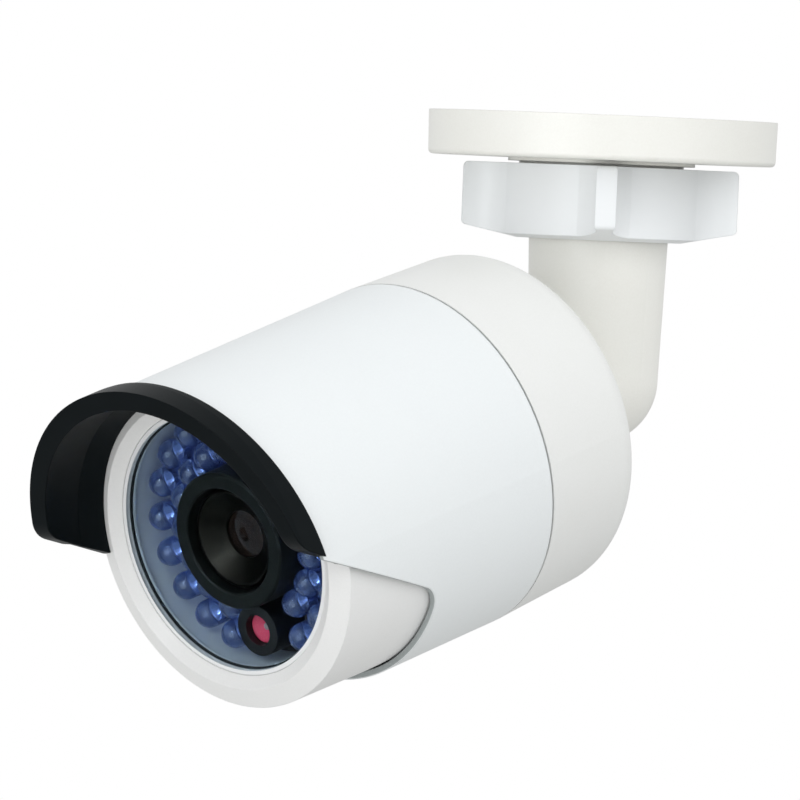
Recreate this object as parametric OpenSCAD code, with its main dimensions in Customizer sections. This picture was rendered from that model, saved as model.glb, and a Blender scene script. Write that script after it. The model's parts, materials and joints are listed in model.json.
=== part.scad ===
// Compact bullet camera hanging from a ceiling bracket.
// The origin is the centre of the bracket's mounting face, +Z points up into the ceiling,
// and the camera looks towards -Y and a little down.
// Lengths along the camera are measured forwards from the tilt axis.

/* [Ceiling plate] */
// Diameter of the plate at its mounting face
plate_d = 59; // [58:0.5:66]
// Thickness of the plate
plate_t = 7.5; // [6.5:0.5:8.5]
// Diameter of the circle through the screw holes
screw_circle_d = 44; // [42:0.5:46]
// Diameter of the screw holes
screw_hole_d = 4.4; // [3.5:0.1:4.6]
// Number of screw holes
screw_hole_count = 4; // [3,4,6]

/* [Locking nut] */
// Diameter across opposite lugs
nut_d = 46.6; // [45:0.2:49]
// Diameter of the hollows between the lugs
nut_hollow_d = 33.2; // [32.6:0.2:34]
// Number of lugs
lug_count = 4; // [3,4,5]
// Width of each lug's outer face
lug_w = 3.6; // [2.5:0.1:5]
// Height of the nut
nut_h = 12.5; // [12.4:0.1:13]

/* [Arm] */
// Diameter of the arm where it leaves the nut
arm_d = 23.5; // [22.6:0.1:23.5]
// Diameter of the arm's domed end
arm_end_d = 22; // [21.6:0.1:22.4]
// Depth of the tilt axis below the mounting face
pivot_drop = 44.5; // [43:0.5:50]
// Diameter of the tilt screw
tilt_screw_d = 5.9; // [5:0.1:6]
// Angle of the camera below the horizontal
camera_pitch = 17.9; // [9:0.1:85]

/* [Camera body] */
// Diameter of the body at the seam between rear cap and sunshield
body_d = 60; // [59:0.2:62]
// Diameter of the sunshield at its front edge
front_d = 59.4; // [59:0.2:59.8]
// Distance from the tilt axis to the back of the rear cap
cap_back = 20.8; // [20.6:0.1:21]
// Distance from the tilt axis to the seam
seam_at = 44.3; // [43.8:0.1:45]
// Radius of the rear cap's rounded back edge
cap_round = 4.8; // [3:0.1:5]

/* [Sunshield and visor] */
// Distance from the tilt axis to the sunshield's front edge, on the body axis
shield_front = 98.3; // [97.3:0.1:98.8]
// Forward lean of the sunshield's front edge, in millimetres at the top
shield_lean = 4; // [2:0.1:4.4]
// Distance from the tilt axis to the visor's front edge, on the body axis
visor_front = 103.4; // [102:0.2:106]
// Forward lean of the visor's front edge, in millimetres at the top
visor_lean = 4.5; // [3:0.1:6]
// Slope of the sunshield's lower edge below the body axis, in degrees
edge_slope = 27.6; // [24:0.1:30]
// Distance from the tilt axis to the back of the cut-away under the front
cutaway_back = 71.6; // [66:0.1:76]

/* [Front] */
// Distance from the tilt axis to the front rim's ridge
rim_at = 93.05; // [92.8:0.05:93.2]
// Diameter of the front rim's ridge
rim_d = 49.2; // [48:0.2:50]
// Diameter of the opening behind the window
window_d = 42.8; // [42.4:0.1:43]
// Outer diameter of the foam shroud around the lens
shroud_d = 23.4; // [22.8:0.1:23.4]

/* [Lights and lens] */
// Diameter of an infrared light
led_d = 4.8; // [4:0.1:4.9]
// Radius of the outer circle of lights
led_ring_outer = 19.2; // [19.1:0.05:19.3]
// Radius of the inner circle of lights
led_ring_inner = 14.2; // [14.1:0.05:14.3]
// Lights on the outer circle
led_count_outer = 18; // [12:1:18]
// Lights on the inner circle
led_count_inner = 15; // [8:1:15]
// Diameter of the light sensor
sensor_d = 5.2; // [4:0.1:5.4]
// Diameter of the lens thread
lens_thread_d = 12; // [11.6:0.1:12]

/* [Hidden] */
$fn = 96;

// Small distances that keep cuts clean and pieces apart
cut = 1;
fit = 0.05;
gap = 0.3;

// Bracket
plate_round = 0.8;
plate_draft = 0.15;
lip_d = 31.6;
lip_t = 0.6;
boss_d = 27.8;
boss_end = 15.2;
boss_bore_d = 18;
grommet_bore_d = 13;
nut_top = plate_t + 1;
nut_base = nut_top + nut_h;
nut_round = 0.9;
nut_cone = 1.75;
nut_lip = 2.6;
nut_bore_d = boss_d + 4*fit;
flank_r = 6;
flank_bite = 0.15;
washer_t = 0.8;
flange_d = 27.2;
flange_t = 2.1;
flange_top = boss_end + washer_t + 2*fit;
arm_bore_d = 13;

// Tilt joint
tongue_w = 6;
disc_t = 0.65;
slot_w = tongue_w + 2*disc_t + 2*fit;
tongue_r = 9;
tongue_slope = 25;
tilt_head_d = 8.6;
tilt_head_at = 7.35;
tilt_head_end = 10;
tilt_thread_end = 9;
hex_key = 3.2;

// Roll joint: a hollow spigot turns in the rear cap
collar_back = 13;
collar_d = 29;
spigot_d = 23;
spigot_end = 28.5;
spigot_bore_d = 20.2;
cap_wall = 3;
gland_d = 6;
gland_bore_d = 4.2;
gland_up = 7;
roll_ring_d = 29;
roll_washer_t = 0.8;
roll_ring_t = 1.6;
ring_groove_d = 21.8;
wall_inner = cap_back + cap_wall;
washer_at = wall_inner + fit;
ring_at = washer_at + roll_washer_t + fit;

// Housing
seam_gap = 0.4;
housing_d = 57;
housing_front_d = 56.2;
housing_taper_at = 75;
housing_bore_d = 50;
thread_d = 54.4;
thread_back = 34.5;
thread_groove_d = thread_d - 2.4;
thread_groove_at = thread_back + 4.6;
thread_groove_w = 1.4;
rim_edge = rim_at - 1.45;
ledge_front = rim_at - 3.05;
ledge_t = 0.6;
gasket_t = 0.45;
gasket_w = 0.35;
pane_d = window_d + 2.4;
pane_edge = rim_at - 1.4;
glass_back = ledge_front + gasket_t;
glass_t = 1.1;
chamber_d = 44;
chamber_back = 80.5;
shroud_bore_d = 18;
shroud_bevel = 0.4;
shroud_lip = 0.25;
shroud_front = glass_back - fit;

// Sunshield and visor
shield_in_d = 57.6;
shield_seat_w = 2;
shield_step_w = 3;
visor_d = 61.7;
visor_rise = 0.75;
visor_in_d = 55;
visor_back_in_d = 51.8;
visor_skirt_d = 57.4;
visor_flare_at = 97;
visor_tip_up = 4.15;
visor_tip_ahead = 0.6;
visor_edge_slope = 29;
visor_turn = 1.25;
corner_cut = 6;
corner_visor = 5;
edge_start_up = 1.05;
shield_screw_at = 58;
shield_screw_d = 3;
screw_sunk = 0.2;
screw_cross_depth = 0.8;

// Electronics
board_d = 49.2;
board_t = 1.6;
board_hole_d = 18;
led_front = 87.9;
pillar_r = 23.3;
pillar_count = 3;
pillar_af = 2.7;
stud_d = 1.5;
stud_depth = 5;
sensor_board_front = 65.2;
main_board_front = 56;
sensor_up = -16.2;
sensor_hold_d = 8.8;
led_turn_outer = -2;
led_turn_inner = -4;
led_gap_outer = 48;
led_gap_inner = 63;
lens_front = 88.9;
lens_cap_back = 80.7;
lens_cap_d = 16.9;
lens_cone_d = 10.1;
lens_cone_at = lens_front - 2;
lens_seat_d = 8.1;
lens_seat_at = lens_front - 2.7;
lens_tube_d = 6.4;
lens_back = 72;
rear_lens_d = 7.6;
front_lens_h = 1.5;
front_lens_bulge = 0.7;
sensor_h = 5.4;
resistor = [2, 1.25, 0.7];
resistor_count = 8;
resistor_r = 16;
led_plug = [8, 3.4, 3.2];
led_plug_down = 13.5;
chip_pad = [9, 8, 1.3];
chip_up = 0.7;
processor_w = 16;
processor_t = 1.2;
fin = [14, 1.2, 3];
fin_count = 5;
fin_step = 3.2;
cable_plug = [14, 5, 6];
side_plugs = [[-13, 6, 8], [6, 6, 6]];
side_plug_size = 4;
board_screw_d = 3.2;
board_screw_h = 1.4;
board_flat = 0.42;
holder_front = 79;
holder_w = [24, 17];
slot_back = 68.6;
carriage = [13.8, 9, 1.8];
carriage_play = 6.4;
slot_h = 2.2;
aperture = 5;

// Puts its children in the camera's frame: +Z forwards along the body, +Y up, +X as the room
module in_camera() {
    translate([0, 0, -pivot_drop]) rotate([camera_pitch + 90, 0, 0]) children();
}

// Solid of revolution from a list of [radius, height] points
module turned(points) {
    rotate_extrude() polygon(points);
}

module ring(d_out, d_in, from, to) {
    translate([0, 0, from]) difference() {
        cylinder(d = d_out, h = to - from);
        translate([0, 0, -cut]) cylinder(d = d_in, h = to - from + 2*cut);
    }
}

// Copies its children around the axis, starting at the given angle from straight up
module around(count, start, step, radius) {
    for (i = [0 : count - 1]) {
        a = start + i*step;
        translate([radius*sin(a), radius*cos(a), 0]) children();
    }
}

// Extrudes a side outline, drawn as [forwards, up], to the given width across the camera
module side_slab(w) {
    rotate([0, -90, 0]) linear_extrude(height = w, center = true) children();
}

// --- Bracket ---

module base_plate() {
    edge = plate_d/2 - plate_draft;
    color("#f2f1ea") difference() {
        union() {
            rotate_extrude() {
                polygon([[0, 0], [plate_d/2, 0], [edge, plate_round - plate_t],
                    [edge - plate_round, -plate_t], [0, -plate_t]]);
                translate([edge - plate_round, plate_round - plate_t]) circle(r = plate_round);
            }
            translate([0, 0, -plate_t - lip_t]) cylinder(d = lip_d, h = lip_t + cut);
            translate([0, 0, -boss_end]) cylinder(d = boss_d, h = boss_end - cut);
        }
        translate([0, 0, -boss_end - cut]) cylinder(d = boss_bore_d, h = boss_end + 2*cut);
        around(screw_hole_count, 0, 360/screw_hole_count, screw_circle_d/2) screw_hole();
    }
}

// Countersunk from below
module screw_hole() {
    head_d = 2*screw_hole_d;
    translate([0, 0, -plate_t - cut]) cylinder(d = screw_hole_d, h = plate_t + 2*cut);
    turned([[0, -plate_t - cut], [head_d/2, -plate_t - cut], [head_d/2, -plate_t],
        [screw_hole_d/2, -plate_t + (head_d - screw_hole_d)/2], [0, -plate_t + (head_d - screw_hole_d)/2]]);
}

module base_grommet() {
    color("#222222") ring(boss_bore_d - 2*fit, grommet_bore_d, -5, -1);
}

module pan_washer() {
    color("#303030") ring(boss_d - 1, boss_bore_d + 1, -boss_end - washer_t, -boss_end - fit);
}

// Blank of the nut: cone underneath, rounded corners
module nut_blank() {
    r = nut_d/2;
    low = nut_base - nut_cone;
    turned([[0, -nut_top], [r - nut_round, -nut_top], [r, -nut_top - nut_round],
        [r, -low + nut_round], [r - nut_round, -low], [boss_d/2, -nut_base], [0, -nut_base]]);
    for (z = [-nut_top - nut_round, -low + nut_round])
        translate([0, 0, z]) rotate_extrude() translate([r - nut_round, 0]) circle(r = nut_round);
}

// Outline of the hollow between two lugs, centred on +X, with a round flank at each side
module nut_hollow() {
    r = nut_d/2;
    corner_r = norm([r, lug_w/2]);
    corner_a = atan2(lug_w/2, r);
    centre_r = nut_hollow_d/2 + flank_r - flank_bite;
    swing = acos((centre_r*centre_r + corner_r*corner_r - flank_r*flank_r)/(2*centre_r*corner_r));
    half = 180/lug_count - corner_a - swing;
    difference() {
        union() {
            polygon([[0, 0], [2*r*cos(half), -2*r*sin(half)], [3*r, 0], [2*r*cos(half), 2*r*sin(half)]]);
            for (side = [-1, 1])
                rotate(side*half) translate([centre_r, 0]) circle(r = flank_r);
        }
        circle(d = nut_hollow_d);
    }
}

module locking_nut() {
    low = nut_base - nut_lip;
    color("#eaeff4") difference() {
        nut_blank();
        for (i = [0 : lug_count - 1])
            rotate(i*360/lug_count) translate([0, 0, -nut_base - cut])
                linear_extrude(height = nut_h + 2*cut) nut_hollow();
        translate([0, 0, -nut_base - cut]) cylinder(d = arm_d + 2*gap, h = nut_h + 2*cut);
        translate([0, 0, -low]) cylinder(d = nut_bore_d, h = nut_h + cut);
    }
}

// Slot in the arm's end: open at the front and below, closed behind
module tongue_slot() {
    r = tongue_r + 0.4;
    rotate([90, 0, 90]) linear_extrude(height = slot_w, center = true) {
        circle(r = r);
        translate([-2*arm_d, -arm_d]) square([2*arm_d, arm_d + r]);
        translate([-r, -arm_d]) square([2*r, arm_d]);
    }
}

module arm() {
    color("#f2f1ea") difference() {
        union() {
            translate([0, 0, -flange_top - flange_t]) cylinder(d = flange_d, h = flange_t);
            turned([[0, -flange_top - flange_t], [arm_d/2, -flange_top - flange_t], [arm_d/2, -nut_base],
                [arm_end_d/2, -pivot_drop], [0, -pivot_drop]]);
            translate([0, 0, -pivot_drop]) sphere(d = arm_end_d);
        }
        translate([0, 0, -pivot_drop + tongue_r - 2]) cylinder(d = arm_bore_d, h = pivot_drop);
        translate([0, 0, -pivot_drop]) {
            tongue_slot();
            rotate([0, 90, 0]) translate([0, 0, -arm_d])
                cylinder(d = tilt_screw_d + 2*fit, h = arm_d + tilt_thread_end);
            rotate([0, -90, 0]) translate([0, 0, tilt_head_at - fit])
                cylinder(d = tilt_head_d + 2*gap, h = arm_d);
        }
    }
}

// --- Tilt joint ---

module tilt_screw() {
    color("#b8bcc0") translate([0, 0, -pivot_drop]) rotate([0, -90, 0]) difference() {
        union() {
            translate([0, 0, -tilt_thread_end + 2*fit])
                cylinder(d = tilt_screw_d, h = tilt_thread_end + tilt_head_at);
            translate([0, 0, tilt_head_at]) turned([[0, 0], [tilt_head_d/2, 0], [tilt_head_d/2, 1.6],
                [tilt_head_d/2 - 1, tilt_head_end - tilt_head_at], [0, tilt_head_end - tilt_head_at]]);
        }
        translate([0, 0, tilt_head_end - 1.8]) cylinder(d = hex_key*2/sqrt(3), h = 3, $fn = 6);
    }
}

module knuckle() {
    tongue_top = gland_up - gland_d/2 - gap;
    neck_r = collar_d/2 - 1;
    color("#f2f1ea") in_camera() difference() {
        union() {
            side_slab(tongue_w) {
                circle(r = tongue_r);
                polygon([[0, -tongue_r], [collar_back + cut, -tongue_r], [collar_back + cut, tongue_top],
                    [tongue_r*sin(tongue_slope), tongue_r*cos(tongue_slope)], [0, 0]]);
            }
            turned([[0, collar_back], [neck_r, collar_back], [collar_d/2, collar_back + 1],
                [collar_d/2, cap_back - gap], [spigot_d/2, cap_back - gap], [spigot_d/2, spigot_end],
                [0, spigot_end]]);
        }
        translate([0, 0, collar_back + cap_wall]) cylinder(d = spigot_bore_d, h = spigot_end);
        translate([0, gland_up, collar_back - cut]) cylinder(d = gland_d, h = cap_wall + 2*cut);
        rotate([0, 90, 0]) translate([0, 0, -arm_d]) cylinder(d = tilt_screw_d + 2*fit, h = 2*arm_d);
        ring(spigot_d + 2*cut, ring_groove_d, ring_at - fit, ring_at + roll_ring_t + fit);
        ring(spigot_d + 2*cut, spigot_d - 1.8, cap_back + 1, cap_back + 2);
    }
}

module tilt_discs() {
    color("#3a3a3a") in_camera() for (side = [-1, 1])
        translate([side*(tongue_w + disc_t)/2, 0, 0]) rotate([0, 90, 0])
            ring(2*tongue_r - 2, tilt_screw_d + 2*fit, -disc_t/2, disc_t/2);
}

// The cord itself is left out: this is only the rubber ring that it passes through
module cable_gland() {
    color("#1c1c1c") in_camera() translate([0, gland_up, 0]) difference() {
        union() {
            translate([0, 0, collar_back + fit]) cylinder(d = gland_d - 2*fit, h = cap_wall);
            translate([0, 0, collar_back + cap_wall + fit]) cylinder(d = gland_d - 1, h = 2.4);
        }
        translate([0, 0, collar_back - cut]) cylinder(d = gland_bore_d, h = 3*cap_wall);
    }
}

// --- Roll joint ---

module roll_seal() {
    color("#1c1c1c") in_camera() translate([0, 0, cap_back + 1.5])
        rotate_extrude() translate([spigot_d/2 - 0.44, 0]) circle(d = 0.88, $fn = 24);
}

module roll_washer() {
    color("#e0ddd0") in_camera() ring(roll_ring_d, spigot_d + 2*fit, washer_at, washer_at + roll_washer_t);
}

// Split ring sprung into the spigot's groove
module roll_ring() {
    color("#9a9ea2") in_camera() difference() {
        ring(roll_ring_d - 2, ring_groove_d + 2*fit, ring_at, ring_at + roll_ring_t);
        translate([-2, 0, ring_at - cut]) cube([4, roll_ring_d, roll_ring_t + 2*cut]);
    }
}

// --- Body shell ---

module rear_cap() {
    front = seam_at - seam_gap/2;
    edge_r = body_d/2 - 0.7;
    color("#f0f0ec") in_camera() rotate_extrude() difference() {
        union() {
            polygon([[0, cap_back], [edge_r - cap_round, cap_back], [edge_r, cap_back + cap_round],
                [body_d/2, front], [0, front]]);
            translate([edge_r - cap_round, cap_back + cap_round]) circle(r = cap_round);
        }
        polygon([[0, cap_back - cut], [spigot_d/2 + fit, cap_back - cut], [spigot_d/2 + fit, wall_inner],
            [edge_r - cap_round - cap_wall, wall_inner], [edge_r - cap_wall, cap_back + cap_round + 2],
            [edge_r - cap_wall, thread_back - 2], [thread_d/2 + fit, thread_back - 1],
            [thread_d/2 + fit, front + cut], [0, front + cut]]);
    }
}

module cap_seal() {
    color("#1c1c1c") in_camera() translate([0, 0, thread_back + 5.3])
        rotate_extrude() translate([thread_d/2 - 0.58, 0]) circle(d = 1.2, $fn = 24);
}

module front_housing() {
    shoulder = seam_at - seam_gap/2 + fit;
    color("#eef1f3") in_camera() difference() {
        turned([[housing_bore_d/2, thread_back], [thread_d/2, thread_back], [thread_d/2, shoulder],
            [housing_d/2, shoulder], [housing_d/2, housing_taper_at], [housing_front_d/2, rim_edge],
            [rim_d/2, rim_at], [pane_d/2, pane_edge], [pane_d/2, ledge_front], [window_d/2, ledge_front],
            [window_d/2, ledge_front - ledge_t], [chamber_d/2, ledge_front - ledge_t],
            [chamber_d/2, chamber_back], [housing_bore_d/2, chamber_back]]);
        ring(thread_d + 2*cut, thread_groove_d, thread_groove_at, thread_groove_at + thread_groove_w);
        around(pillar_count, 0, 360/pillar_count, pillar_r)
            translate([0, 0, chamber_back - cut]) cylinder(d = stud_d + 2*fit, h = stud_depth + cut);
        rotate([90, 0, 0]) translate([0, shield_screw_at, thread_d/2 - 3])
            cylinder(d = shield_screw_d + 2*fit, h = 6);
    }
}

// Side outline of a wedge between two straight edges, its tip rounded.
// The tip is at [x, y], the edges run at angles a and b from it, and size is their length.
module rounded_wedge(tip, a, b, r, size) {
    half = (b - a)/2;
    reach = r/tan(half);
    centre = tip + r/sin(half)*[cos(a + half), sin(a + half)];
    polygon([tip + reach*[cos(a), sin(a)], tip + size*[cos(a), sin(a)],
        tip + 2*size*[cos(a + half), sin(a + half)], tip + size*[cos(b), sin(b)],
        tip + reach*[cos(b), sin(b)], centre]);
    translate(centre) circle(r = r);
}

// Height of the lower edge line, below the body axis, at a distance forward of the tilt axis
function lower_edge(at) = edge_start_up - (shield_front - at)*tan(edge_slope);

// Everything in front of a leaning edge that crosses the axis at the given distance
module front_part(at, lean, r) {
    side_slab(3*body_d) polygon([[at - 2*lean, -2*r], [at + 2*lean, 2*r], [3*at, 2*r], [3*at, -2*r]]);
}

module sunshield() {
    back = seam_at + seam_gap/2;
    front = shield_front + shield_lean + cut;
    color("#e9eef2") in_camera() difference() {
        turned([[housing_d/2 + fit, back], [body_d/2, back], [front_d/2, front], [shield_in_d/2, front],
            [shield_in_d/2, back + shield_step_w], [housing_d/2 + fit, back + shield_seat_w]]);
        front_part(shield_front, shield_lean, front_d/2);
        side_slab(2*body_d) rounded_wedge([cutaway_back, lower_edge(cutaway_back)], -90, edge_slope,
            corner_cut, 2*body_d);
        rotate([90, 0, 0]) translate([0, shield_screw_at, 0])
            cylinder(d = shield_screw_d + 2*gap, h = body_d);
    }
}

// Grub screw with a cross in its end, just below the sunshield's surface
module sunshield_screw() {
    foot = thread_d/2 - 2;
    end = body_d/2 - 2*fit - screw_sunk;
    cross = [shield_screw_d - 1, 0.6, 2*screw_cross_depth];
    color("#c9ccce") in_camera() rotate([90, 0, 0]) translate([0, shield_screw_at, 0]) difference() {
        translate([0, 0, foot]) cylinder(d = shield_screw_d, h = end - foot);
        for (a = [0, 90])
            translate([0, 0, end]) rotate(a) cube(cross, center = true);
    }
}

// Distance from the tilt axis to the front face of the rim, at a distance from the body axis
function rim_face(r) = rim_at - (r - rim_d/2)*(rim_at - rim_edge)/(housing_front_d/2 - rim_d/2);

// Hood in front of the sunshield
module visor_hood() {
    back = shield_front - shield_lean;
    front = visor_front + visor_lean + cut;
    difference() {
        turned([[visor_in_d/2, back], [visor_d/2 - visor_rise, back], [visor_d/2, visor_front],
            [visor_d/2, front], [visor_in_d/2, front]]);
        difference() {
            translate([0, 0, back - 2*shield_lean]) cylinder(d = 2*visor_d, h = 6*shield_lean);
            front_part(shield_front + fit, shield_lean, front_d/2);
        }
    }
}

// Skirt that lines the inside of the sunshield and meets the sloping face of the rim
module visor_skirt() {
    clear = 2*fit;
    rim_r = housing_front_d/2;
    turned([[visor_back_in_d/2, rim_face(visor_back_in_d/2) + clear], [rim_r, rim_edge + clear],
        [visor_skirt_d/2, rim_edge + clear], [visor_skirt_d/2, shield_front],
        [visor_in_d/2, shield_front + 2*shield_lean], [visor_in_d/2, visor_flare_at]]);
}

module visor() {
    lean_a = 90 - atan(visor_lean/(visor_d/2));
    tip = [visor_front + visor_tip_ahead, visor_tip_up];
    color("#23272b") in_camera() intersection() {
        union() {
            visor_hood();
            visor_skirt();
        }
        rotate(visor_turn) side_slab(2*body_d)
            rounded_wedge(tip, lean_a, 180 + visor_edge_slope, corner_visor, 3*body_d);
    }
}

// --- Window ---

module window_glass() {
    r = pane_d/2 - fit;
    bevel = 2*fit;
    color("#9fb4c8", 0.4) in_camera() turned([[0, glass_back + fit], [r, glass_back + fit],
        [r, glass_back + glass_t - bevel], [r - bevel, glass_back + glass_t], [0, glass_back + glass_t]]);
}

// Narrow rubber ring that the glass rests on
module window_gasket() {
    color("#1c1c1c") in_camera()
        ring(window_d + 2*gasket_w, window_d + 2*fit, ledge_front + fit/2, glass_back);
}

module lens_shroud() {
    bore = shroud_bore_d/2;
    color("#191b1a") in_camera() turned([[bore, chamber_back + fit], [shroud_d/2, chamber_back + fit],
        [shroud_d/2, shroud_front - shroud_bevel], [shroud_d/2 - shroud_bevel, shroud_front],
        [bore + shroud_lip, shroud_front], [bore, shroud_front - shroud_lip]]);
}

// --- Lights ---

module led_board() {
    color("#1d2420") in_camera() difference() {
        translate([0, 0, chamber_back - board_t]) cylinder(d = board_d, h = board_t);
        translate([0, 0, chamber_back - board_t - cut]) cylinder(d = board_hole_d, h = board_t + 2*cut);
        around(pillar_count, 0, 360/pillar_count, pillar_r)
            translate([0, 0, chamber_back - board_t - cut]) cylinder(d = stud_d + 2*fit, h = board_t + 2*cut);
    }
}

// Small resistors and the connector on the back of the lights' board
module led_board_parts() {
    color("#15171a") in_camera() translate([0, 0, chamber_back - board_t]) {
        for (i = [0 : resistor_count - 1])
            rotate((i + 0.5)*360/resistor_count) translate([resistor_r, 0, -resistor[2]/2])
                cube(resistor, center = true);
        translate([0, -led_plug_down, -led_plug[2]/2]) cube(led_plug, center = true);
    }
}

// One light: straight body with a flanged base and a domed tip
module infrared_led() {
    r = led_d/2;
    dome = led_front - r;
    cylinder_base = chamber_back + fit;
    translate([0, 0, cylinder_base]) cylinder(r = r, h = dome - cylinder_base);
    translate([0, 0, dome]) difference() {
        sphere(r = r, $fn = 48);
        translate([0, 0, -r]) cube(2*r, center = true);
    }
}

// Angle of a light on a circle that leaves an opening for the sensor at the bottom
function led_angle(i, count, opening, turn) = 180 + turn + opening/2 + i*(360 - opening)/(count - 1);

module infrared_leds() {
    color("#5f74c8") in_camera() {
        for (i = [0 : led_count_outer - 1]) {
            a = led_angle(i, led_count_outer, led_gap_outer, led_turn_outer);
            translate([led_ring_outer*sin(a), led_ring_outer*cos(a), 0]) infrared_led();
        }
        for (i = [0 : led_count_inner - 1]) {
            a = led_angle(i, led_count_inner, led_gap_inner, led_turn_inner);
            translate([led_ring_inner*sin(a), led_ring_inner*cos(a), 0]) infrared_led();
        }
    }
}

module sensor_holder() {
    color("#17191b") in_camera() translate([0, sensor_up, 0])
        ring(sensor_hold_d, sensor_d + 2*fit, chamber_back + fit, led_front - 0.6);
}

module light_sensor() {
    color("#d23a52") in_camera() translate([0, sensor_up, chamber_back + fit])
        cylinder(d = sensor_d, h = sensor_h);
}

// --- Lens ---

module lens_barrel() {
    cap_r = lens_cap_d/2;
    bevel = 0.4;
    color("#17191a") in_camera() turned([[rear_lens_d/2, lens_back], [lens_thread_d/2, lens_back],
        [lens_thread_d/2, lens_cap_back], [cap_r, lens_cap_back], [cap_r, lens_front - bevel],
        [cap_r - bevel, lens_front], [cap_r - 2*bevel, lens_front], [lens_cone_d/2, lens_cone_at],
        [lens_seat_d/2, lens_seat_at], [lens_seat_d/2, lens_seat_at - 2], [lens_tube_d/2, lens_seat_at - 3],
        [lens_tube_d/2, lens_back + 3], [rear_lens_d/2, lens_back + 1.6]]);
}

// Domed front element
module front_lens() {
    r = lens_seat_d/2 - fit;
    edge = lens_seat_at - 0.3;
    ball = (r*r + front_lens_bulge*front_lens_bulge)/(2*front_lens_bulge);
    color("#3c3450") in_camera() {
        translate([0, 0, edge - front_lens_h]) cylinder(r = r, h = front_lens_h);
        intersection() {
            translate([0, 0, edge + front_lens_bulge - ball]) sphere(r = ball);
            translate([0, 0, edge - front_lens_h/2]) cylinder(r = r, h = 3*front_lens_h);
        }
    }
}

module rear_lens() {
    color("#5a6480") in_camera() translate([0, 0, lens_back + 2*fit])
        cylinder(d = rear_lens_d - 2*fit, h = 1.3);
}

// Block on the sensor board with the lens thread in front and the filter slot behind
module lens_holder() {
    base = sensor_board_front + fit;
    color("#1a1c1e") in_camera() difference() {
        union() {
            translate([-holder_w[0]/2, -holder_w[1]/2, base])
                cube([holder_w[0], holder_w[1], lens_back + 2 - base]);
            translate([0, 0, lens_back]) cylinder(d = lens_thread_d + 4, h = holder_front - lens_back);
        }
        translate([0, 0, slot_back]) cylinder(d = lens_thread_d + 2*fit, h = holder_front);
        translate([-(carriage[0] + carriage_play)/2 - gap, -carriage[1]/2 - gap, slot_back])
            cube([carriage[0] + carriage_play + 2*gap, carriage[1] + 2*gap, slot_h]);
        translate([-6, -5.5, base - cut]) cube([12, 11, 2.4 + cut]);
        translate([0, 0, base]) cylinder(d = 2*aperture - 2, h = holder_front);
    }
}

// Sliding frame that holds the two filters side by side
module filter_carriage() {
    opening = [aperture, aperture + 1.4, carriage[2] + cut];
    color("#2a2c2e") in_camera() translate([carriage_play/2, 0, slot_back + slot_h/2]) difference() {
        cube(carriage, center = true);
        for (side = [-1, 1])
            translate([side*carriage_play/2, 0, 0]) cube(opening, center = true);
    }
}

module filter_pane(side) {
    in_camera() translate([carriage_play/2 + side*carriage_play/2, 0, slot_back + slot_h/2])
        cube([aperture - 2*fit, aperture + 1.4 - 2*fit, 0.6], center = true);
}

module infrared_filter() {
    color("#7fb2b8", 0.6) filter_pane(-1);
}

module clear_filter() {
    color("#d8e4ea", 0.4) filter_pane(1);
}

// --- Boards ---

// Hexagonal pillars between two boards
module pillars(from, to) {
    around(pillar_count, 0, 360/pillar_count, pillar_r)
        translate([0, 0, from]) cylinder(d = pillar_af*2/sqrt(3), h = to - from, $fn = 6);
}

module front_pillars() {
    back = chamber_back - board_t;
    color("#c9a94e") in_camera() {
        pillars(sensor_board_front + fit, back - fit);
        around(pillar_count, 0, 360/pillar_count, pillar_r)
            translate([0, 0, back - 1]) cylinder(d = stud_d, h = board_t + stud_depth);
    }
}

module rear_pillars() {
    color("#c9a94e") in_camera() pillars(main_board_front + fit, sensor_board_front - board_t - fit);
}

// Round board with a flat at the bottom
module round_board(front) {
    translate([0, 0, front - board_t]) intersection() {
        cylinder(d = board_d, h = board_t);
        translate([-board_d, -board_flat*board_d, -cut]) cube([2*board_d, 2*board_d, board_t + 2*cut]);
    }
}

module sensor_board() {
    color("#2f5d3a") in_camera() round_board(sensor_board_front);
}

module main_board() {
    color("#2f5d3a") in_camera() round_board(main_board_front);
}

module image_sensor() {
    color("#8a7fb0") in_camera() translate([0, 0, sensor_board_front + fit + chip_up])
        cube(chip_pad, center = true);
}

// Chip with a finned heat sink on it
module processor() {
    color("#2b2d30") in_camera() translate([0, 0, main_board_front + fit]) {
        translate([-processor_w/2, -processor_w/2, 0]) cube([processor_w, processor_w, processor_t]);
        for (i = [0 : fin_count - 1])
            translate([-fin[0]/2, (i - (fin_count - 1)/2)*fin_step - fin[1]/2, processor_t]) cube(fin);
    }
}

module board_connectors() {
    back = main_board_front - board_t - fit;
    color("#e8e4d8") in_camera() {
        translate([-cable_plug[0]/2, -4, back - cable_plug[2]]) cube(cable_plug);
        for (plug = side_plugs)
            translate([plug[0], plug[1], back - side_plug_size])
                cube([plug[2], side_plug_size, side_plug_size]);
    }
}

module board_screws() {
    back = main_board_front - board_t - fit;
    slot = [board_screw_d + cut, 0.5, 0.6];
    color("#c8ccd0") in_camera() around(pillar_count, 0, 360/pillar_count, pillar_r)
        translate([0, 0, back - board_screw_h]) difference() {
            cylinder(d = board_screw_d, h = board_screw_h);
            cube([slot[0], slot[1], 2*slot[2]], center = true);
        }
}

base_plate();
base_grommet();
pan_washer();
locking_nut();
arm();
tilt_screw();
knuckle();
tilt_discs();
cable_gland();
roll_seal();
roll_washer();
roll_ring();
rear_cap();
cap_seal();
front_housing();
sunshield();
sunshield_screw();
visor();
window_glass();
window_gasket();
lens_shroud();
led_board();
led_board_parts();
infrared_leds();
sensor_holder();
light_sensor();
lens_barrel();
front_lens();
rear_lens();
lens_holder();
filter_carriage();
infrared_filter();
clear_filter();
front_pillars();
sensor_board();
image_sensor();
rear_pillars();
main_board();
processor();
board_connectors();
board_screws();
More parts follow.
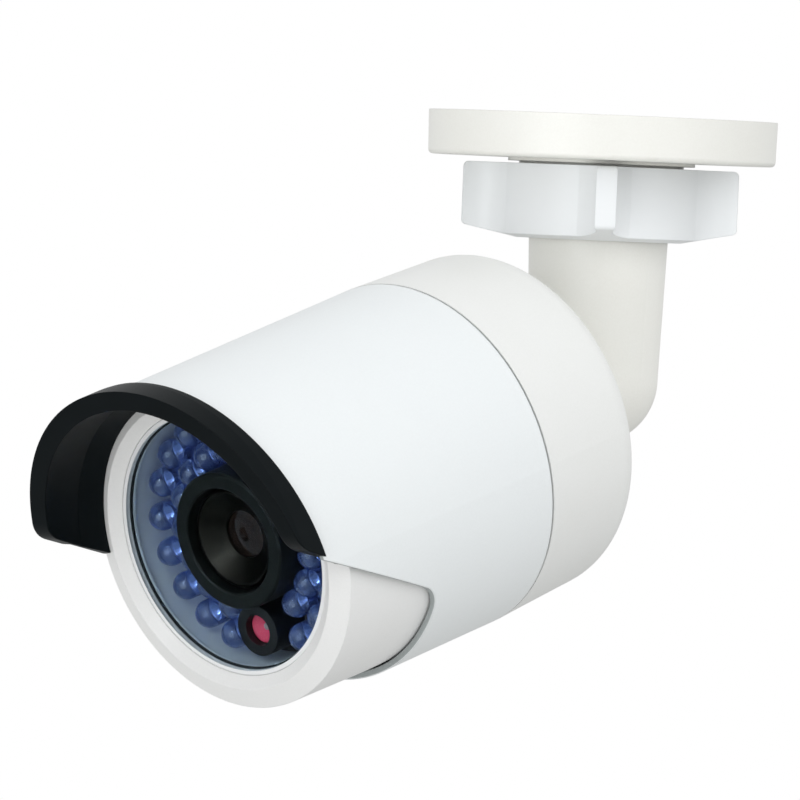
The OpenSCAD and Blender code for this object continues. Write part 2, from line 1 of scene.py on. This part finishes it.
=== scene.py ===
"""Looks of a compact security camera on its ceiling bracket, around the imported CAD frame."""

import json
import math

import bmesh
import bpy
from mathutils import Matrix, Vector


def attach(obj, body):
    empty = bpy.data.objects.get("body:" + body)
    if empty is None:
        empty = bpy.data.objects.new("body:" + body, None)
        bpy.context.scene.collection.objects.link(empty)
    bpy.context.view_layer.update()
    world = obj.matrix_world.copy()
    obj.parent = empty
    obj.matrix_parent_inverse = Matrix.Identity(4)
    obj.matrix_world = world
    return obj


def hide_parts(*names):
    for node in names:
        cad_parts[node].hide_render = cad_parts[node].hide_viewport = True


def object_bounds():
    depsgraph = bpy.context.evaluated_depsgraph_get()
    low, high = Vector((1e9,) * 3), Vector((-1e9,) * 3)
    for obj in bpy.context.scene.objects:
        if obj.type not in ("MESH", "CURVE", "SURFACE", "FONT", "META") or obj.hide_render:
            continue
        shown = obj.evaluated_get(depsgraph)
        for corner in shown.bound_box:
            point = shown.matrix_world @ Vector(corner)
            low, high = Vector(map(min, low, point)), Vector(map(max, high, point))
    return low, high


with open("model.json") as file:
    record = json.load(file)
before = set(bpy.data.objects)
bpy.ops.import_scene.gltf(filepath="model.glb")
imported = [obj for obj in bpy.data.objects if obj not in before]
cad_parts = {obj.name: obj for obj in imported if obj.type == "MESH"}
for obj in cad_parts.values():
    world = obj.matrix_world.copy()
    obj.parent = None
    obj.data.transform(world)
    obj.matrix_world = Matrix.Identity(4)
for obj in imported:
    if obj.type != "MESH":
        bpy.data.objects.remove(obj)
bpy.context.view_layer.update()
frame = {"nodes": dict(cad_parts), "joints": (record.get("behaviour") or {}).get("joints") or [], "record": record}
nodes = frame["nodes"]
joints = {j["name"]: j for j in frame["joints"]}

MM = 0.001

# The camera body's own axes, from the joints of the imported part
PIVOT = Vector(joints["tilt"]["pos_m"])
AHEAD = Vector(joints["roll"]["axis"]).normalized()
ACROSS = Vector((1, 0, 0))
UPWARD = AHEAD.cross(ACROSS).normalized()


def in_body(across, up, ahead):
    """A point given in metres across, up and ahead of the tilt axis, in the row frame."""
    return PIVOT + ACROSS * across + UPWARD * up + AHEAD * ahead


def body_coordinates(point):
    """The opposite of in_body."""
    away = point - PIVOT
    return away.dot(ACROSS), away.dot(UPWARD), away.dot(AHEAD)


def corners_of(node):
    """The corners of a node's mesh as (across, up, ahead), in metres."""
    return [body_coordinates(v.co) for v in nodes[node].data.vertices]


def reach(node):
    """Nearest and farthest distance of a node's mesh ahead of the tilt axis."""
    ahead = [corner[2] for corner in corners_of(node)]
    return min(ahead), max(ahead)


def middle(values):
    return (min(values) + max(values)) / 2


# ---------------------------------------------------------------- materials


class Graph:
    """A material's node tree with short calls for the nodes used here."""

    def __init__(self, name):
        self.material = bpy.data.materials.new(name)
        self.material.use_nodes = True
        self.tree = self.material.node_tree
        self.shader = self.tree.nodes["Principled BSDF"]
        self.place = self.add("ShaderNodeTexCoord").outputs["Object"]

    def add(self, kind, **settings):
        """A new node of a kind, with its settings."""
        node = self.tree.nodes.new(kind)
        for key, value in settings.items():
            setattr(node, key, value)
        return node

    def link(self, source, target):
        self.tree.links.new(source, target)

    def set(self, **sockets):
        """Sets the shader's own sockets to uniform values."""
        for key, value in sockets.items():
            self.shader.inputs[key.replace("_", " ")].default_value = value

    def noise(self, size, detail, roughness, stretch=None):
        """Noise with features of about the given size, in metres."""
        node = self.add("ShaderNodeTexNoise")
        node.inputs["Scale"].default_value = 1 / size
        node.inputs["Detail"].default_value = detail
        node.inputs["Roughness"].default_value = roughness
        place = self.place
        if stretch:
            mapping = self.add("ShaderNodeMapping")
            mapping.inputs["Scale"].default_value = stretch
            self.link(self.place, mapping.inputs["Vector"])
            place = mapping.outputs["Vector"]
        self.link(place, node.inputs["Vector"])
        return node.outputs["Fac"]

    def cells(self, size, feature="F1", randomness=1.0):
        """Distances in a pattern of cells of about the given size, in metres."""
        node = self.add("ShaderNodeTexVoronoi", feature=feature)
        node.inputs["Scale"].default_value = 1 / size
        node.inputs["Randomness"].default_value = randomness
        self.link(self.place, node.inputs["Vector"])
        return node.outputs["Distance"]

    def between(self, value, low, high, out_low=0.0, out_high=1.0):
        """Takes a value from low to high on to out_low to out_high, and holds it at the ends."""
        node = self.add("ShaderNodeMapRange")
        node.inputs["From Min"].default_value = low
        node.inputs["From Max"].default_value = high
        node.inputs["To Min"].default_value = out_low
        node.inputs["To Max"].default_value = out_high
        self.link(value, node.inputs["Value"])
        return node.outputs["Result"]

    def math(self, operation, a, b):
        node = self.add("ShaderNodeMath", operation=operation)
        for socket, value in zip(node.inputs, (a, b)):
            if isinstance(value, (int, float)):
                socket.default_value = value
            else:
                self.link(value, socket)
        return node.outputs["Value"]

    def blend(self, share, first, second):
        """Colour that goes from first to second as share goes from 0 to 1."""
        node = self.add("ShaderNodeMix", data_type="RGBA")
        self.link(share, node.inputs["Factor"])
        for socket, value in ((node.inputs[6], first), (node.inputs[7], second)):
            if isinstance(value, tuple):
                socket.default_value = (*value, 1)
            else:
                self.link(value, socket)
        return node.outputs[2]

    def colour(self, socket):
        self.link(socket, self.shader.inputs["Base Color"])

    def rough(self, value, low, high, out_low, out_high):
        """Roughness from out_low to out_high as a value goes from low to high."""
        spread = self.between(value, low, high, out_low, out_high)
        self.link(spread, self.shader.inputs["Roughness"])

    def rounded(self, radius):
        """Normals that round the sharp edges by a radius."""
        bevel = self.add("ShaderNodeBevel", samples=6)
        bevel.inputs["Radius"].default_value = radius
        return bevel.outputs["Normal"]

    def relief(self, height, depth, edge):
        """Bump of the given depth in metres; edge rounds the sharp edges by that radius."""
        bump = self.add("ShaderNodeBump")
        bump.inputs["Strength"].default_value = 1.0
        bump.inputs["Distance"].default_value = depth
        self.link(height, bump.inputs["Height"])
        self.link(self.rounded(edge), bump.inputs["Normal"])
        self.link(bump.outputs["Normal"], self.shader.inputs["Normal"])

    def vector(self, operation, a, b=None):
        """Vector arithmetic on sockets and fixed vectors."""
        node = self.add("ShaderNodeVectorMath", operation=operation)
        for socket, value in zip(node.inputs, (a, b)):
            if isinstance(value, Vector):
                socket.default_value = value
            elif value is not None:
                self.link(value, socket)
        return node.outputs["Value" if operation in ("LENGTH", "DOT_PRODUCT") else "Vector"]

    def from_axis(self):
        """Distance from the camera body's axis, and distance ahead of the tilt axis."""
        away = self.vector("SUBTRACT", self.place, PIVOT)
        sideways = self.vector("CROSS_PRODUCT", away, AHEAD)
        return self.vector("LENGTH", sideways), self.vector("DOT_PRODUCT", away, AHEAD)

    def edges(self, radius):
        """Share that is 1 on edges sharper than the radius and 0 on plain surfaces."""
        plain = self.add("ShaderNodeNewGeometry").outputs["Normal"]
        agreement = self.vector("DOT_PRODUCT", self.rounded(radius), plain)
        return self.between(agreement, 0.98, 0.7)


def paint(name, colour, dust, painted_shade=None):
    """Powder coat: orange peel, faint clouds in the colour and softened edges.
    painted_shade is (shade colour, outside radius behind and ahead, and where those are): what lies deeper
    than the outer skin, the cut ends and the inside, is painted grey as painted shade."""
    peel_size, peel_depth, edge = 1.1 * MM, 0.006 * MM, 0.3 * MM
    # painted shade: the depths below the outer skin over which the colour turns to the shade grey
    painted_shade_begins, painted_shade_full = 0.10 * MM, 0.24 * MM
    g = Graph(name)
    clouds = g.noise(14 * MM, 4, 0.6)
    grain = g.noise(0.35 * MM, 2, 0.5)
    shade = g.blend(g.between(clouds, 0.3, 0.7), dust, colour)
    lighter = tuple(min(1.0, c * 1.02 + 0.01) for c in colour)
    coat = g.blend(g.between(grain, 0.35, 0.75, 0, 0.6), shade, lighter)
    # painted shade: what lies deeper than the outer skin is painted grey
    if painted_shade:
        painted_shade_colour, behind, ahead, start, end = painted_shade
        radius, along = g.from_axis()
        skin = g.between(along, start, end, behind, ahead)
        depth = g.math("SUBTRACT", skin, radius)
        coat = g.blend(g.between(depth, painted_shade_begins, painted_shade_full), coat, painted_shade_colour)
    g.colour(coat)
    mottle = g.math("ADD", g.math("MULTIPLY", clouds, 0.5), g.math("MULTIPLY", grain, 0.5))
    g.rough(mottle, 0.35, 0.65, 0.36, 0.46)
    height = g.math("ADD", g.noise(peel_size, 2, 0.5), g.math("MULTIPLY", grain, 0.25))
    g.relief(height, peel_depth, edge)
    g.set(Specular_IOR_Level=0.45, Coat_Weight=0.12, Coat_Roughness=0.22, IOR=1.5)
    return g.material


def skin_of(node):
    """Outside radius of a turned node at its back and front, and where those are."""
    corners = corners_of(node)
    start, end = reach(node)
    near = 0.1 * MM
    behind = max(math.hypot(across, up) for across, up, along in corners if along < start + near)
    ahead = max(math.hypot(across, up) for across, up, along in corners if along > end - near)
    return behind, ahead, start, end


def moulded(name, colour, deep, grain=0.28 * MM, depth=0.008 * MM, rough=(0.42, 0.55),
            edge=0.25 * MM, specular=0.5):
    """Moulded plastic: spark-eroded grain, flow marks and softened edges."""
    g = Graph(name)
    flow = g.noise(9 * MM, 3, 0.55, stretch=(1, 1, 2.5))
    fine = g.noise(grain, 3, 0.6)
    pits = g.cells(grain * 1.6)
    streaks = g.math("ADD", flow, g.math("MULTIPLY", fine, 0.5))
    g.colour(g.blend(g.between(streaks, 0.5, 1.0), deep, colour))
    g.rough(fine, 0.3, 0.7, *rough)
    g.relief(g.math("ADD", fine, g.math("MULTIPLY", pits, 0.6)), depth, edge)
    g.set(Specular_IOR_Level=specular, IOR=1.49)
    return g.material


def rubber(name, colour, deep):
    """Matt rubber with a faint bloom."""
    g = Graph(name)
    bloom = g.noise(3 * MM, 4, 0.65)
    fine = g.noise(0.12 * MM, 2, 0.5)
    g.colour(g.blend(g.between(bloom, 0.35, 0.7), deep, colour))
    g.rough(bloom, 0.3, 0.7, 0.62, 0.82)
    g.relief(fine, 0.006 * MM, 0.15 * MM)
    g.set(Specular_IOR_Level=0.35, Sheen_Weight=0.15)
    return g.material


def metal(name, colour, deep, rough=(0.22, 0.4)):
    """Turned or plated metal with fine tool marks."""
    g = Graph(name)
    marks = g.noise(0.5 * MM, 4, 0.6, stretch=(1, 1, 14))
    stain = g.noise(4 * MM, 3, 0.6)
    g.colour(g.blend(g.between(stain, 0.3, 0.7), deep, colour))
    polish = g.math("ADD", g.math("MULTIPLY", marks, 0.6), g.math("MULTIPLY", stain, 0.4))
    g.rough(polish, 0.3, 0.7, *rough)
    g.relief(marks, 0.004 * MM, 0.12 * MM)
    g.set(Metallic=1.0)
    return g.material


def circuit_board(name, mask, copper):
    """Solder mask over copper tracks: branching lines stand a little proud and show lighter."""
    drop = 0.35
    g = Graph(name)
    tracks = g.cells(2.2 * MM, "DISTANCE_TO_EDGE", 0.55)
    vias = g.cells(1.7 * MM)
    mottle = g.noise(2.5 * MM, 3, 0.5)
    line = g.between(tracks, 0.03, 0.08, 1, 0)
    via = g.between(vias, 0.07, 0.12, 1, 0)
    raised = g.math("MAXIMUM", line, via)
    deep = tuple(c * (1 - drop) for c in mask)
    g.colour(g.blend(g.math("MULTIPLY", raised, 0.5), g.blend(mottle, deep, mask), copper))
    g.rough(mottle, 0.3, 0.7, 0.28, 0.4)
    g.relief(raised, 0.02 * MM, 0.1 * MM)
    g.set(Specular_IOR_Level=0.5, Coat_Weight=0.3, Coat_Roughness=0.15)
    return g.material


def clear(name, tint, rough=0.0, ior=1.5, smear=0.02, transmission=1.0, coat=0.0, ground=None):
    """Glass or clear resin, with a faint smear in its gloss.
    ground is (radius, colour): outside that distance from the body's axis it is ground white."""
    fade = 0.06 * MM
    g = Graph(name)
    film = g.noise(5 * MM, 4, 0.7)
    colour = g.blend(g.between(film, 0.3, 0.7), tuple(c * 0.97 for c in tint), tint)
    g.set(Transmission_Weight=transmission, IOR=ior, Coat_Weight=coat, Coat_Roughness=0.015)
    if ground:
        radius, ground_colour = ground
        border = g.between(g.from_axis()[0], radius, radius + fade)
        colour = g.blend(border, colour, ground_colour)
        g.link(g.math("SUBTRACT", 1, border), g.shader.inputs["Transmission Weight"])
    g.colour(colour)
    g.rough(film, 0.35, 0.75, rough, rough + smear)
    return g.material


def foam(name, colour, deep, painted_edge_highlight):
    """Dense closed-cell foam, with its sharp edges painted lighter as a painted highlight."""
    g = Graph(name)
    pores = g.cells(0.3 * MM)
    soft = g.noise(2 * MM, 3, 0.6)
    body = g.blend(g.between(pores, 0.0, 0.5), deep, colour)
    # painted highlight: the sharp edges are painted a lighter colour
    g.colour(g.blend(g.edges(0.3 * MM), body, painted_edge_highlight))
    g.rough(soft, 0.3, 0.7, 0.5, 0.66)
    g.relief(pores, 0.02 * MM, 0.3 * MM)
    g.set(Specular_IOR_Level=0.25, Sheen_Weight=0.02)
    return g.material


def coated_lens(name, core, rim):
    """Front element: dark glass whose coating turns from one hue to another at a slant."""
    g = Graph(name)
    slant = g.add("ShaderNodeLayerWeight")
    slant.inputs["Blend"].default_value = 0.35
    haze = g.noise(3 * MM, 3, 0.6)
    turned = g.math("MULTIPLY", slant.outputs["Facing"], g.between(haze, 0, 1, 0.85, 1))
    g.colour(g.blend(turned, core, rim))
    g.rough(haze, 0.3, 0.7, 0.02, 0.06)
    g.set(IOR=1.5, Specular_IOR_Level=0.3, Transmission_Weight=0.35)
    return g.material


def gasket_radius():
    """Outside radius of the seal behind the window."""
    return max(math.hypot(across, up) for across, up, ahead in corners_of("window_gasket"))


def make_materials():
    """Every material by the name of its slot in the CAD record, and two for the pieces made here."""
    return {
        "bracket_paint": paint("bracket_paint", (0.90, 0.895, 0.85), (0.885, 0.875, 0.825)),
        "nut_plastic": moulded("nut_plastic", (0.90, 0.92, 0.935), (0.885, 0.905, 0.92), grain=0.2 * MM,
            depth=0.004 * MM, rough=(0.36, 0.46)),
        "cap_paint": paint("cap_paint", (0.87, 0.875, 0.86), (0.855, 0.86, 0.84)),
        # the sunshield's cut ends and inside are painted grey as painted shade
        "shield_paint": paint("shield_paint", (0.87, 0.898, 0.905), (0.86, 0.887, 0.895),
            painted_shade=((0.36, 0.39, 0.39), *skin_of("sunshield"))),
        "housing_paint": paint("housing_paint", (0.885, 0.885, 0.88), (0.87, 0.87, 0.86)),
        "visor_plastic": moulded("visor_plastic", (0.0032, 0.0056, 0.0068), (0.0022, 0.0042, 0.0052),
            grain=0.16 * MM, depth=0.004 * MM, rough=(0.34, 0.44), edge=0.35 * MM, specular=0.08),
        "black_rubber": rubber("black_rubber", (0.022, 0.022, 0.021), (0.014, 0.014, 0.014)),
        "washer_nylon": moulded("washer_nylon", (0.7, 0.68, 0.6), (0.62, 0.6, 0.52)),
        "friction_disc": moulded("friction_disc", (0.045, 0.045, 0.045), (0.03, 0.03, 0.03),
            rough=(0.55, 0.7)),
        "steel": metal("steel", (0.62, 0.63, 0.64), (0.5, 0.51, 0.53)),
        "brass_pillar": metal("brass_pillar", (0.78, 0.6, 0.3), (0.66, 0.48, 0.22)),
        "window_pane": clear("window_pane", (0.70, 0.80, 0.87), ior=1.13, smear=0.01,
            ground=(gasket_radius(), (0.86, 0.87, 0.88))),
        # the shroud foam's last colour is a painted highlight on its sharp edges
        "shroud_foam": foam("shroud_foam", (0.007, 0.008, 0.005), (0.004, 0.005, 0.003), (0.055, 0.06, 0.05)),
        "led_resin": clear("led_resin", (0.32, 0.44, 0.92), rough=0.03, smear=0.04,
            transmission=0.86, coat=1.0),
        "sensor_black": moulded("sensor_black", (0.010, 0.009, 0.007), (0.006, 0.005, 0.004)),
        "sensor_red": moulded("sensor_red", (1.0, 0.10, 0.17), (0.95, 0.075, 0.14), rough=(0.2, 0.3)),
        "lens_black": metal("lens_black", (0.026, 0.022, 0.017), (0.016, 0.014, 0.011), rough=(0.35, 0.5)),
        "lens_glass": coated_lens("lens_glass", (0.040, 0.016, 0.010), (0.022, 0.020, 0.016)),
        "filter_glass": clear("filter_glass", (0.35, 0.75, 0.8)),
        "holder_plastic": moulded("holder_plastic", (0.02, 0.022, 0.024), (0.013, 0.014, 0.015)),
        "led_pcb": circuit_board("led_pcb", (0.085, 0.078, 0.075), (0.15, 0.13, 0.12)),
        "green_pcb": circuit_board("green_pcb", (0.02, 0.13, 0.05), (0.1, 0.3, 0.12)),
        "chip": moulded("chip", (0.03, 0.031, 0.033), (0.02, 0.021, 0.022),
            grain=0.12 * MM, rough=(0.5, 0.65)),
        "sensor_chip": moulded("sensor_chip", (0.2, 0.16, 0.34), (0.12, 0.1, 0.22), rough=(0.08, 0.14)),
        "connector_plastic": moulded("connector_plastic", (0.8, 0.76, 0.64), (0.72, 0.67, 0.55)),
        "sensor_die": moulded("sensor_die", (0.62, 0.5, 0.48), (0.5, 0.38, 0.36), grain=0.1 * MM),
        "led_silver": metal("led_silver", (0.85, 0.86, 0.9), (0.7, 0.72, 0.78), rough=(0.12, 0.25)),
    }


materials = make_materials()


def dress(obj, material):
    """Gives a CAD node its one material."""
    obj.data.materials.clear()
    obj.data.materials.append(materials[material])


for part in frame["record"]["subparts"]:
    dress(nodes[part["node"]], part["material_slot"])


# ---------------------------------------------------------------- pieces

SHARP = math.radians(38)  # an edge that turns by more than this isn't smoothed
FLAT = 0.01 * MM  # a patch thinner than this is a flat one
POINT = 1e-7  # a ring smaller than this is a single corner


def islands(node):
    """The corners of each separate patch of a node's mesh, as lists of points."""
    mesh = nodes[node].data
    leader = list(range(len(mesh.vertices)))

    def first(i):
        while leader[i] != i:
            leader[i] = leader[leader[i]]
            i = leader[i]
        return i

    for edge in mesh.edges:
        leader[first(edge.vertices[0])] = first(edge.vertices[1])
    patches = {}
    for v in mesh.vertices:
        patches.setdefault(first(v.index), []).append(v.co.copy())
    return list(patches.values())


def ring_places(centre, radius, segments):
    """Points round a circle about AHEAD, or its centre alone where the radius is nothing."""
    if radius < POINT:
        return [centre]
    angles = [2 * math.pi * i / segments for i in range(segments)]
    return [centre + radius * (ACROSS * math.cos(a) + UPWARD * math.sin(a)) for a in angles]


def lathe(mesh, centre, profile, segments):
    """Adds a turned shape to a bmesh: (radius, height) from the bottom to the top, about AHEAD."""
    rings = []
    for radius, height in profile:
        places = ring_places(centre + AHEAD * height, radius, segments)
        rings.append([mesh.verts.new(place) for place in places])
    for low, high in zip(rings, rings[1:]):
        for i in range(segments):
            j = (i + 1) % segments
            if len(low) == 1:
                mesh.faces.new((low[0], high[j], high[i]))
            elif len(high) == 1:
                mesh.faces.new((low[i], low[j], high[0]))
            else:
                mesh.faces.new((low[i], low[j], high[j], high[i]))


def make_object(mesh, name, material):
    """Puts a bmesh into the scene as an object of one material."""
    data = bpy.data.meshes.new(name)
    mesh.to_mesh(data)
    mesh.free()
    obj = bpy.data.objects.new(name, data)
    bpy.context.scene.collection.objects.link(obj)
    data.materials.append(material)
    return obj


def finish_piece(mesh, name, material, body, replaced):
    """Makes an object of a bmesh, smooth but for its sharp edges, riding on a body."""
    bmesh.ops.recalc_face_normals(mesh, faces=mesh.faces)
    for face in mesh.faces:
        face.smooth = True
    for edge in mesh.edges:
        if len(edge.link_faces) == 2 and edge.calc_face_angle() > SHARP:
            edge.smooth = False
    obj = make_object(mesh, name, materials[material])
    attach(obj, body)
    if replaced:
        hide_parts(*replaced)


def arc(radius, centre_height, start, end, steps):
    """Points of an arc as (radius, height), by angle above the horizontal."""
    angles = [start + (end - start) * i / steps for i in range(steps + 1)]
    return [(max(radius * math.cos(a), 0.0), centre_height + radius * math.sin(a)) for a in angles]


def led_spots():
    """Each light's foot as (across, up, ahead, radius), from the flat ends of the CAD solids."""
    spots = []
    for patch in islands("infrared_leds"):
        across, up, ahead = zip(*(body_coordinates(place) for place in patch))
        if max(ahead) - min(ahead) < FLAT:
            radius = (max(across) - min(across)) / 2
            spots.append((middle(across), middle(up), ahead[0], radius))
    return sorted(spots)


def dome_profile(radius, shoulder):
    """A light's resin: bevelled foot, straight side and half a ball."""
    bevel = 0.12 * MM
    return [(0, 0), (radius - bevel, 0), (radius, bevel)] + arc(radius, shoulder, 0, math.pi / 2, 14)


def cup_profile(at):
    """A light's reflector cup, hollow towards the tip."""
    stem, neck, hollow, rim = 0.5 * MM, 0.62 * MM, 0.95 * MM, 1.05 * MM
    foot, waist, floor, brim = at - 0.9 * MM, at - 0.3 * MM, at - 0.15 * MM, at + 0.45 * MM
    return [(0, foot), (stem, foot), (neck, waist), (rim, brim), (hollow, brim), (stem, floor), (0, floor)]


def lead_profile(width, top):
    """A lead inside a light, narrower at its top."""
    inset = 0.2 * MM
    side = width / 2
    return [(0, inset), (side, inset), (side, top - inset), (width / 3, top), (0, top)]


def make_lights():
    """Clear blue resin bodies with a reflector cup and two leads inside each."""
    resin, cores = bmesh.new(), bmesh.new()
    cup_down = 1.6 * MM
    tip = reach("infrared_leds")[1]
    for across, up, foot, radius in led_spots():
        centre = in_body(across, up, foot)
        shoulder = tip - foot - radius
        cup = shoulder - cup_down
        lathe(resin, centre, dome_profile(radius, shoulder), 36)
        lathe(cores, centre, cup_profile(cup), 20)
        wide_lead = (-0.55 * MM, 0.9 * MM, cup - 0.8 * MM)
        thin_lead = (0.85 * MM, 0.5 * MM, cup + 0.2 * MM)
        for side, width, top in (wide_lead, thin_lead):
            lathe(cores, in_body(across + side, up, foot), lead_profile(width, top), 8)
    finish_piece(resin, "led_lenses", "led_resin", "camera", ("infrared_leds",))
    finish_piece(cores, "led_cores", "led_silver", "camera", ())


def make_sensor():
    """Red reflector cone with a pale die at its bottom."""
    cone, die = bmesh.new(), bmesh.new()
    foot, tip = reach("light_sensor")
    across, up, _ = zip(*corners_of("light_sensor"))
    radius = max(across)
    centre = in_body(0, middle(up), foot)
    height = tip - foot
    well, well_r = height - 0.9 * MM, 0.75 * MM
    bevel, brim = 0.15 * MM, 0.35 * MM
    lathe(cone, centre, [(0, 0), (radius, 0), (radius, height - bevel), (radius - bevel, height),
          (radius - brim, height), (well_r, well), (0, well)], 48)
    die_r, die_top_r = 0.6 * MM, 0.45 * MM
    low, edge, top = well - 0.1 * MM, well + 0.1 * MM, well + 0.2 * MM
    lathe(die, centre, [(0, low), (die_r, low), (die_r, edge), (die_top_r, top), (0, top)], 24)
    finish_piece(cone, "sensor_cone", "sensor_red", "camera", ("light_sensor",))
    finish_piece(die, "sensor_chip_dot", "sensor_die", "camera", ())


make_lights()
make_sensor()

# ---------------------------------------------------------------- stage, light and camera

# Where the camera stands: its distance, turn, height and roll about the mounting face, and its aim
CAMERA_DISTANCE = 1.6765
CAMERA_AZIMUTH = math.radians(43.58)
CAMERA_HEIGHT = math.radians(1.168)
CAMERA_ROLL = math.radians(-2.3985)
AIM_ACROSS = 0.03437
AIM_UP = 0.04796
FRAME_PIXELS = 800
SCALE = 5.9217  # pixels of that frame to a millimetre, at the camera's distance
SENSOR = 36

SKY_LOW = 0.76
SKY_HIGH = 0.80
FLOOR_SIZE = 60
FLOOR_DROP = 1.6  # far enough below the object for a view from underneath
CARD_SIZE = 0.16
CARD_AWAY = 0.6


def make_camera():
    """Makes the camera and gives its directions: right, up and back."""
    a, e, r = CAMERA_AZIMUTH, CAMERA_HEIGHT, CAMERA_ROLL
    back = Vector((math.sin(a) * math.cos(e), -math.cos(a) * math.cos(e), math.sin(e)))
    level = Vector((math.cos(a), math.sin(a), 0))
    rise = back.cross(level)
    right = math.cos(r) * level - math.sin(r) * rise
    up = math.sin(r) * level + math.cos(r) * rise
    data = bpy.data.cameras.new("view")
    data.sensor_width = SENSOR
    data.lens = SENSOR * SCALE * CAMERA_DISTANCE / MM / FRAME_PIXELS
    data.clip_start, data.clip_end = 0.1, 50
    camera = bpy.data.objects.new("view", data)
    bpy.context.scene.collection.objects.link(camera)
    place = CAMERA_DISTANCE * back - AIM_ACROSS * right - AIM_UP * up
    turn = Matrix((right, up, back)).transposed().to_4x4()
    camera.matrix_world = Matrix.Translation(place) @ turn
    bpy.context.scene.camera = camera
    return right, up, back


def area_light(name, place, target, side, watts, colour, gloss_only=False):
    """A square of light; a gloss_only one adds only a glint, and nothing shades it."""
    data = bpy.data.lights.new(name, "AREA")
    data.shape = "RECTANGLE"
    data.size, data.size_y = side, side
    data.energy = watts
    data.color = colour
    light = bpy.data.objects.new(name, data)
    bpy.context.scene.collection.objects.link(light)
    light.location = place
    light.rotation_euler = (target - place).to_track_quat("-Z", "Y").to_euler()
    light.visible_camera = False
    if gloss_only:
        light.visible_diffuse = False
        data.use_shadow = False


def seen_white(tree, shader, output):
    """Puts in front of a shader a plain white that only the camera sees directly, as in a light box."""
    plain = tree.nodes.new("ShaderNodeEmission")
    ray = tree.nodes.new("ShaderNodeLightPath")
    mix = tree.nodes.new("ShaderNodeMixShader")
    tree.links.new(ray.outputs["Is Camera Ray"], mix.inputs["Fac"])
    tree.links.new(shader, mix.inputs[1])
    tree.links.new(plain.outputs[0], mix.inputs[2])
    tree.links.new(mix.outputs[0], output)


def flat_piece(name, size, material):
    """A flat square that belongs to the stage."""
    mesh = bmesh.new()
    bmesh.ops.create_grid(mesh, x_segments=1, y_segments=1, size=size / 2)
    obj = make_object(mesh, name, material)
    return obj


def make_floor(height):
    """Pale floor."""
    g = Graph("floor_white")
    g.colour(g.blend(g.noise(0.8, 3, 0.5), (0.68, 0.68, 0.67), (0.72, 0.72, 0.71)))
    g.set(Roughness=0.9, Specular_IOR_Level=0.1)
    seen_white(g.tree, g.shader.outputs[0], g.tree.nodes["Material Output"].inputs["Surface"])
    floor = flat_piece("floor", FLOOR_SIZE, g.material)
    floor.location = (0, 0, height)


def make_card(back):
    """A dark card out of the camera's sight, which the window and the lens mirror."""
    g = Graph("card_black")
    g.colour(g.blend(g.noise(0.2, 3, 0.5), (0.01, 0.01, 0.01), (0.015, 0.015, 0.015)))
    g.set(Roughness=0.9, Specular_IOR_Level=0.0)
    card = flat_piece("card", CARD_SIZE, g.material)
    window = in_body(0, 0, reach("window_glass")[1])
    mirrored = 2 * AHEAD.dot(back) * AHEAD - back
    card.location = window + mirrored * CARD_AWAY
    card.rotation_euler = mirrored.to_track_quat("Z", "Y").to_euler()
    card.visible_camera = False


def make_studio_lights(centre, right, up, back):
    """Two large soft lights, and a small one for the glints on the domes of the lights."""
    def towards(across, rise, near):
        return centre + across * right + rise * up + near * back

    area_light("key", towards(0.66, 0.54, 0.9), centre, 0.9, 4.2, (0.98, 0.99, 1.0))
    area_light("fill", towards(-0.66, -0.2, 0.97), centre, 0.9, 4.3, (0.99, 0.995, 1.0))
    area_light("dome_spark", towards(-0.5, 0.3, 0.85), centre, 0.13, 2.4, (0.9, 0.95, 1), gloss_only=True)


def make_sky():
    """Pale studio surround, a little brighter overhead than at the horizon."""
    world = bpy.data.worlds.new("studio")
    bpy.context.scene.world = world
    world.use_nodes = True
    tree = world.node_tree
    sky = tree.nodes["Background"]
    sky.inputs["Color"].default_value = (0.985, 0.995, 1, 1)
    place = tree.nodes.new("ShaderNodeTexCoord")
    split = tree.nodes.new("ShaderNodeSeparateXYZ")
    height = tree.nodes.new("ShaderNodeMapRange")
    height.inputs["To Min"].default_value = SKY_LOW
    height.inputs["To Max"].default_value = SKY_HIGH
    tree.links.new(place.outputs["Generated"], split.inputs["Vector"])
    tree.links.new(split.outputs["Z"], height.inputs["Value"])
    tree.links.new(height.outputs["Result"], sky.inputs["Strength"])
    seen_white(tree, sky.outputs[0], tree.nodes["World Output"].inputs["Surface"])


def make_stage():
    """Camera, floor, card, sky and lights round the object."""
    low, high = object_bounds()
    right, up, back = make_camera()
    make_floor(low.z - FLOOR_DROP)
    make_card(back)
    make_sky()
    make_studio_lights((low + high) / 2, right, up, back)
    bpy.context.scene.view_settings.view_transform = "Standard"


make_stage()

bpy.context.view_layer.update()
